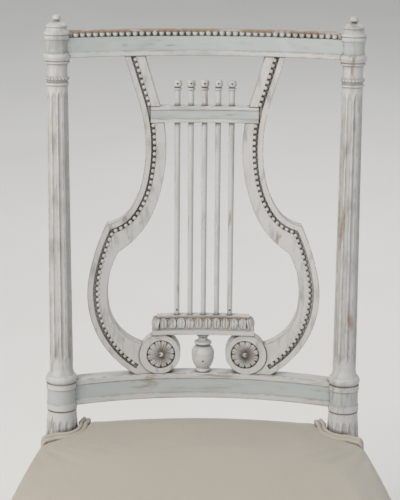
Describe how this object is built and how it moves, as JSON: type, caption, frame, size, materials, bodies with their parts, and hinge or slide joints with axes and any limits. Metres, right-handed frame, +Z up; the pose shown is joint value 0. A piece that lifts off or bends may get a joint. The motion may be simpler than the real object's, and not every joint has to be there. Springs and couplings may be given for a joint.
{
  "type": "lyre back chair",
  "caption": "Side chair with fluted turned posts and legs, a carved and beaded lyre splat between bowed rails, and a domed linen seat edged with double welt.",
  "frame": {"origin": "on the floor, under the middle of the whole chair's box", "axes": "+Z up, the sitter faces -Y, +X to the right as seen from the front"},
  "size_m": [0.4842, 0.5581, 0.9772],
  "materials": {
    "painted_wood": "worn matt off-white paint with grey-green fields over beech",
    "bare_wood": "bare beech",
    "screw_steel": "dull steel",
    "web": "jute and flax webbing",
    "hessian": "loose jute weave",
    "curled_hair": "curled hair",
    "linen": "plain woven linen",
    "dust_cloth": "thin black cotton"
  },
  "bodies": {
    "root": {"corner_block_front_left": "bare_wood", "corner_block_front_right": "bare_wood", "corner_block_rear_left": "bare_wood", "corner_block_rear_right": "bare_wood", "corner_block_screws": "screw_steel", "crest_rail": "painted_wood", "double_welt": "linen", "dust_cover": "dust_cloth", "dust_cover_tacks": "screw_steel", "finial_left": "painted_wood", "finial_right": "painted_wood", "front_leg_left": "painted_wood", "front_leg_right": "painted_wood", "front_seat_rail": "painted_wood", "lower_back_rail": "painted_wood", "lyre_arm_left": "painted_wood", "lyre_arm_right": "painted_wood", "lyre_crossbar": "painted_wood", "lyre_plinth": "painted_wood", "lyre_string_1": "painted_wood", "lyre_string_2": "painted_wood", "lyre_string_3": "painted_wood", "lyre_string_4": "painted_wood", "lyre_string_5": "painted_wood", "lyre_vase": "painted_wood", "rail_pegs": "bare_wood", "rear_post_left": "painted_wood", "rear_post_right": "painted_wood", "rear_seat_rail": "painted_wood", "seat_cover": "linen", "seat_hessian": "hessian", "seat_stuffing": "curled_hair", "seat_webbing": "web", "side_seat_rail_left": "painted_wood", "side_seat_rail_right": "painted_wood"}
  },
  "joints": []
}
